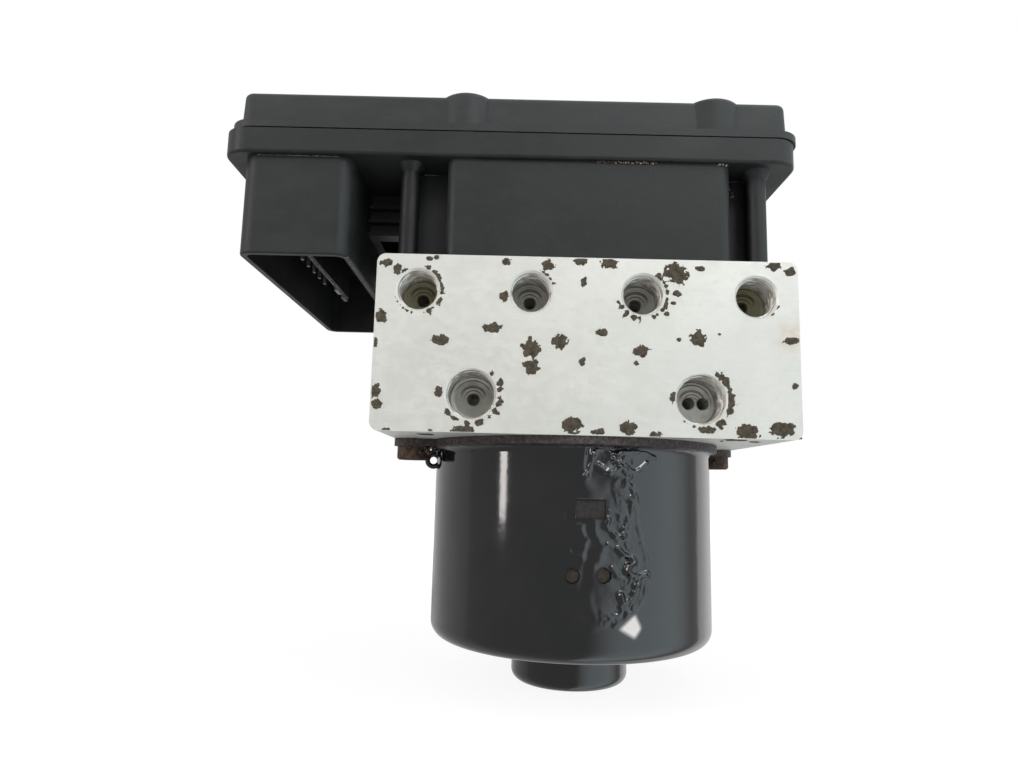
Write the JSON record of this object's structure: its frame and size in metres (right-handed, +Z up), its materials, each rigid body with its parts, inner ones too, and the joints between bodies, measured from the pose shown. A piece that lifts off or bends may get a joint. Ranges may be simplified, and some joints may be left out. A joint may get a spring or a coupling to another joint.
{
  "type": "anti-lock brake module",
  "caption": "Anti-lock brake module: aluminium valve block with pipe ports, control unit with connector shroud on top and pump motor below.",
  "frame": {"origin": "mouth of the threaded fixing hole in the middle of the valve block's rear face", "axes": "+Z up, towards the control unit; +X to the right along the block, seen from the ports; the pipe ports face -Y"},
  "size_m": [0.1518, 0.1034, 0.1561],
  "materials": {
    "block_aluminium": "milled, with corrosion",
    "bright_steel": "ground",
    "dark_steel": "plain",
    "rusty_steel": "rusted",
    "zinc_steel": "plated",
    "motor_paint": "gloss, blistered",
    "rubber_seal": "plain",
    "ferrite": "sintered",
    "copper": "plain",
    "carbon": "pressed carbon",
    "tin": "tinned",
    "housing_plastic": "fine grain",
    "lid_plastic": "fine grain",
    "connector_plastic": "plain",
    "board": "lacquered"
  },
  "bodies": {
    "module": {"valve_block": "block_aluminium", "sealing_balls": "bright_steel", "motor_can": "motor_paint", "motor_screws": "rusty_steel", "motor_seal": "rubber_seal", "magnet_near": "ferrite", "magnet_far": "ferrite", "rear_bearing_outer_ring": "bright_steel", "front_bearing_outer_ring": "bright_steel", "brush_plate": "connector_plastic", "brush_springs": "bright_steel", "brush_left": "carbon", "brush_right": "carbon", "motor_terminals": "copper", "motor_terminal_post": "connector_plastic", "connector_pins": "tin", "control_housing": "housing_plastic", "housing_gasket": "rubber_seal", "circuit_board": "board", "solenoid_coils": "copper", "housing_lid": "lid_plastic", "housing_screws": "zinc_steel", "inlet_valve_1": "bright_steel", "inlet_valve_2": "bright_steel", "inlet_valve_3": "bright_steel", "inlet_valve_4": "bright_steel", "outlet_valve_1": "bright_steel", "outlet_valve_2": "bright_steel", "outlet_valve_3": "bright_steel", "outlet_valve_4": "bright_steel", "pump_plug_left": "bright_steel", "pump_spring_left": "bright_steel", "accumulator_spring_left": "bright_steel", "accumulator_cap_left": "zinc_steel", "pump_plug_right": "bright_steel", "pump_spring_right": "bright_steel", "accumulator_spring_right": "bright_steel", "accumulator_cap_right": "zinc_steel"},
    "rotor": {"motor_shaft": "bright_steel", "eccentric_needles": "bright_steel", "armature_core": "dark_steel", "armature_windings": "copper", "commutator": "copper", "rear_bearing_inner_ring": "bright_steel", "front_bearing_inner_ring": "bright_steel", "bearing_balls": "bright_steel"},
    "pump_ring": {"eccentric_ring": "bright_steel"},
    "pump_piston_left": {"pump_piston_left": "bright_steel"},
    "accumulator_piston_left": {"accumulator_piston_left": "block_aluminium"},
    "pump_piston_right": {"pump_piston_right": "bright_steel"},
    "accumulator_piston_right": {"accumulator_piston_right": "block_aluminium"},
    "inlet_valve_1_plunger": {"inlet_valve_1_plunger": "dark_steel"},
    "inlet_valve_2_plunger": {"inlet_valve_2_plunger": "dark_steel"},
    "inlet_valve_3_plunger": {"inlet_valve_3_plunger": "dark_steel"},
    "inlet_valve_4_plunger": {"inlet_valve_4_plunger": "dark_steel"},
    "outlet_valve_1_plunger": {"outlet_valve_1_plunger": "dark_steel"},
    "outlet_valve_2_plunger": {"outlet_valve_2_plunger": "dark_steel"},
    "outlet_valve_3_plunger": {"outlet_valve_3_plunger": "dark_steel"},
    "outlet_valve_4_plunger": {"outlet_valve_4_plunger": "dark_steel"}
  },
  "joints": [
    {"name": "rotor_spin", "type": "hinge", "parent": "module", "child": "rotor", "pos_m": [0, -0.046, -0.05], "axis": [0, 0, 1], "continuous": true},
    {"name": "ring_spin", "type": "hinge", "parent": "rotor", "child": "pump_ring", "pos_m": [0, -0.0475, 0], "axis": [0, 0, 1], "continuous": true},
    {"name": "pump_piston_left_slide", "type": "slide", "parent": "module", "child": "pump_piston_left", "axis": [-1, 0, 0], "range_m": [0, 0.003], "stiffness_N_per_m": 400, "springref_m": -0.002, "deforming": ["pump_spring_left"]},
    {"name": "accumulator_piston_left_slide", "type": "slide", "parent": "module", "child": "accumulator_piston_left", "axis": [0, 1, 0], "range_m": [0, 0.008], "stiffness_N_per_m": 300, "springref_m": -0.004, "deforming": ["accumulator_spring_left"]},
    {"name": "pump_piston_right_slide", "type": "slide", "parent": "module", "child": "pump_piston_right", "axis": [1, 0, 0], "range_m": [0, 0.003], "stiffness_N_per_m": 400, "springref_m": -0.002, "deforming": ["pump_spring_right"]},
    {"name": "accumulator_piston_right_slide", "type": "slide", "parent": "module", "child": "accumulator_piston_right", "axis": [0, 1, 0], "range_m": [0, 0.008], "stiffness_N_per_m": 300, "springref_m": -0.004, "deforming": ["accumulator_spring_right"]},
    {"name": "inlet_valve_1_slide", "type": "slide", "parent": "module", "child": "inlet_valve_1_plunger", "axis": [0, 0, -1], "range_m": [0, 0.0004], "stiffness_N_per_m": 300, "springref_m": -0.002},
    {"name": "inlet_valve_2_slide", "type": "slide", "parent": "module", "child": "inlet_valve_2_plunger", "axis": [0, 0, -1], "range_m": [0, 0.0004], "stiffness_N_per_m": 300, "springref_m": -0.002},
    {"name": "inlet_valve_3_slide", "type": "slide", "parent": "module", "child": "inlet_valve_3_plunger", "axis": [0, 0, -1], "range_m": [0, 0.0004], "stiffness_N_per_m": 300, "springref_m": -0.002},
    {"name": "inlet_valve_4_slide", "type": "slide", "parent": "module", "child": "inlet_valve_4_plunger", "axis": [0, 0, -1], "range_m": [0, 0.0004], "stiffness_N_per_m": 300, "springref_m": -0.002},
    {"name": "outlet_valve_1_slide", "type": "slide", "parent": "module", "child": "outlet_valve_1_plunger", "axis": [0, 0, 1], "range_m": [0, 0.0004], "stiffness_N_per_m": 300, "springref_m": -0.002},
    {"name": "outlet_valve_2_slide", "type": "slide", "parent": "module", "child": "outlet_valve_2_plunger", "axis": [0, 0, 1], "range_m": [0, 0.0004], "stiffness_N_per_m": 300, "springref_m": -0.002},
    {"name": "outlet_valve_3_slide", "type": "slide", "parent": "module", "child": "outlet_valve_3_plunger", "axis": [0, 0, 1], "range_m": [0, 0.0004], "stiffness_N_per_m": 300, "springref_m": -0.002},
    {"name": "outlet_valve_4_slide", "type": "slide", "parent": "module", "child": "outlet_valve_4_plunger", "axis": [0, 0, 1], "range_m": [0, 0.0004], "stiffness_N_per_m": 300, "springref_m": -0.002}
  ],
  "couplings": [
    {"joint": "ring_spin", "follows": "rotor_spin", "ratio": -1}
  ]
}
